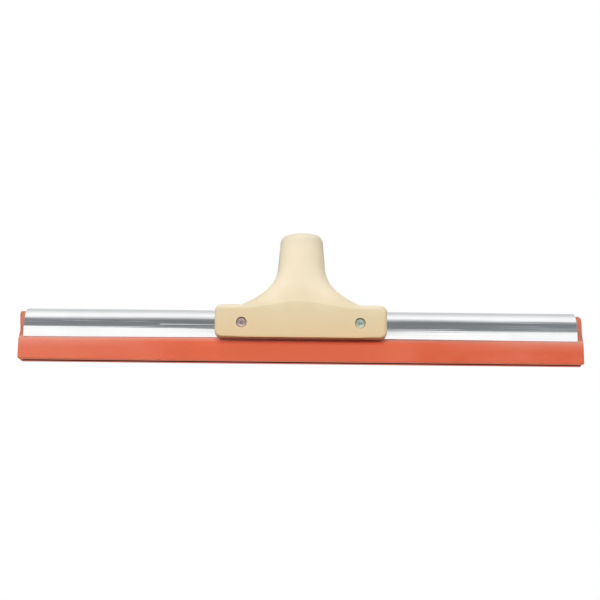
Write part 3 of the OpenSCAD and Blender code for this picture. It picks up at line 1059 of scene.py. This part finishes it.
# Soft boxes: azimuth and elevation in degrees, distance and size in metres, watts
LAMPS = {
    "key_box": (-10, 68, 1.4, (1.4, 0.9), 5.5),
    "front_box": (-8, 9, 1.6, (1.8, 0.3), 20.3),
    "left_box": (-85, 20, 1.6, (0.9, 0.6), 3.0),
    "right_box": (85, 20, 1.6, (0.9, 0.6), 3.5),
    "rear_box": (165, 35, 1.5, (1.4, 0.8), 9.0),
    "back_box": (172, 12, 1.6, (1.8, 0.3), 13.0)
}


def make_floor():
    """Pale floor under the lips. It fades to white far out, and can be seen through from below."""
    half = FLOOR_SIZE / 2 / MM
    corners = [(-half, -half), (half, -half), (half, half), (-half, half)]
    floor = new_object("floor", [(x, y, FLOOR_Z) for x, y in corners], [(0, 1, 2, 3)])
    s = Shader("floor_pale", Roughness=0.9, Specular_IOR_Level=0.1)
    paths = s.node("ShaderNodeLightPath").outputs
    s.drive("Base Color", s.tint(paths["Is Camera Ray"], FLOOR_BOUNCE, FLOOR_PALE))
    distance = s.node("ShaderNodeVectorMath", {"Vector": s.place()}, operation="LENGTH").outputs["Value"]
    far = s.math("MULTIPLY", s.between(distance, 0.0, 1.0, *FLOOR_FADE), paths["Is Camera Ray"])
    x, y, _ = s.split(s.place())
    strip = s.between(s.apart(x), 1.0, 0.0, *STAND_FADE)
    strip = s.math("MULTIPLY", strip, s.between(y, 0.0, 1.0, -STAND_FLOOR[0], -STAND_FLOOR[1]))
    strip = s.math("MULTIPLY", strip, paths["Is Glossy Ray"])
    level = s.between(strip, FLOOR_SHEEN, FLOOR_SHEEN - STAND_SHADE)
    white = s.node("ShaderNodeEmission", {"Color": (1, 1, 1, 1), "Strength": level}).outputs[0]
    glow = s.math("MAXIMUM", far, paths["Is Glossy Ray"])
    seen = s.node("ShaderNodeMixShader", {0: glow, 1: s.shader.outputs[0], 2: white}).outputs[0]
    under = s.math("MULTIPLY", s.node("ShaderNodeNewGeometry").outputs["Backfacing"], paths["Is Camera Ray"])
    clear = s.node("ShaderNodeBsdfTransparent").outputs[0]
    both = s.node("ShaderNodeMixShader", {0: under, 1: seen, 2: clear}).outputs[0]
    s.tree.links.new(both, s.tree.nodes["Material Output"].inputs["Surface"])
    floor.data.materials.append(s.material)


def make_world():
    """White backdrop. Metal sees the studio: dark at the camera, a soft box overhead, grey behind."""
    world = bpy.data.worlds.new("studio")
    bpy.context.scene.world = world
    world.use_nodes = True
    world.node_tree.nodes.clear()
    s = Nodes(world.node_tree)
    x, y, z = s.split(s.node("ShaderNodeTexCoord").outputs["Generated"])
    aside = s.math("ABSOLUTE", x)
    forward = s.math("MULTIPLY", y, -1.0)
    stand = s.between(aside, 0.0, 1.0, *STAND_INSIDE)
    stand = s.math("MULTIPLY", stand, s.between(aside, 1.0, 0.0, *STAND_FADE))
    glow = s.between(z, 1.0, 0.0, 0.0, HORIZON_TOP)
    glow = s.math("MULTIPLY", glow, s.math("SUBTRACT", 1.0, stand))
    stand = s.math("MULTIPLY", stand, s.math("MAXIMUM", forward, 0.0))
    height = s.math("DIVIDE", s.math("ARCTAN2", z, forward), math.pi)
    height = s.math("SUBTRACT", height, s.math("MULTIPLY", stand, STAND_RISE / 180))
    bands = [(degrees / 180, [level ** power for power in STUDIO_COOL]) for degrees, level in STUDIO]
    studio = s.tint(stand, s.ramp(height, bands), STAND_DARK, "SUBTRACT")
    studio = s.tint(glow, studio, HORIZON, "ADD")
    fill = s.tint(s.math("GREATER_THAN", z, 0.0), WORLD_UNDER, WORLD_FILL)
    paths = s.node("ShaderNodeLightPath").outputs
    mirrored = s.tint(paths["Is Glossy Ray"], fill, studio)
    colour = s.tint(paths["Is Camera Ray"], mirrored, (1.0, 1.0, 1.0))
    background = s.node("ShaderNodeBackground", {"Color": colour, "Strength": 1.0}).outputs[0]
    s.node("ShaderNodeOutputWorld", {"Surface": background})


def make_lamp(name, azimuth, elevation, distance, size, watts):
    """Soft box aimed at the object, not mirrored in the metal."""
    back = towards(math.radians(azimuth), math.radians(elevation))
    data = bpy.data.lights.new(name, "AREA")
    data.shape = "RECTANGLE"
    data.size, data.size_y = size
    data.energy = watts
    lamp = bpy.data.objects.new(name, data)
    bpy.context.scene.collection.objects.link(lamp)
    lamp.location = CAMERA_TARGET + back * distance
    lamp.rotation_euler = (-back).to_track_quat("-Z", "Y").to_euler()
    lamp.visible_glossy = False
    lamp.visible_camera = False


def main():
    """Sets the stage and builds the pieces."""
    bpy.context.scene.view_settings.view_transform = "Standard"
    make_camera()
    make_world()
    make_floor()
    for name, values in LAMPS.items():
        make_lamp(name, *values)

    rubber = orange_rubber()
    steel = passivated_steel()
    make_channel(zinc_sheet())
    make_socket(cream_plastic())
    make_blade("front_rubber", -1, ["front_blade", "front_lip"], rubber)
    make_blade("rear_rubber", 1, ["rear_blade", "rear_lip"], rubber)
    make_core(core_rubber())
    for side, word in ((-1, "left"), (1, "right")):
        make_screw(f"{word}_screw", side, f"screw_{word}", steel)
        make_nut(f"{word}_nut", side, f"nut_{word}", steel)


main()
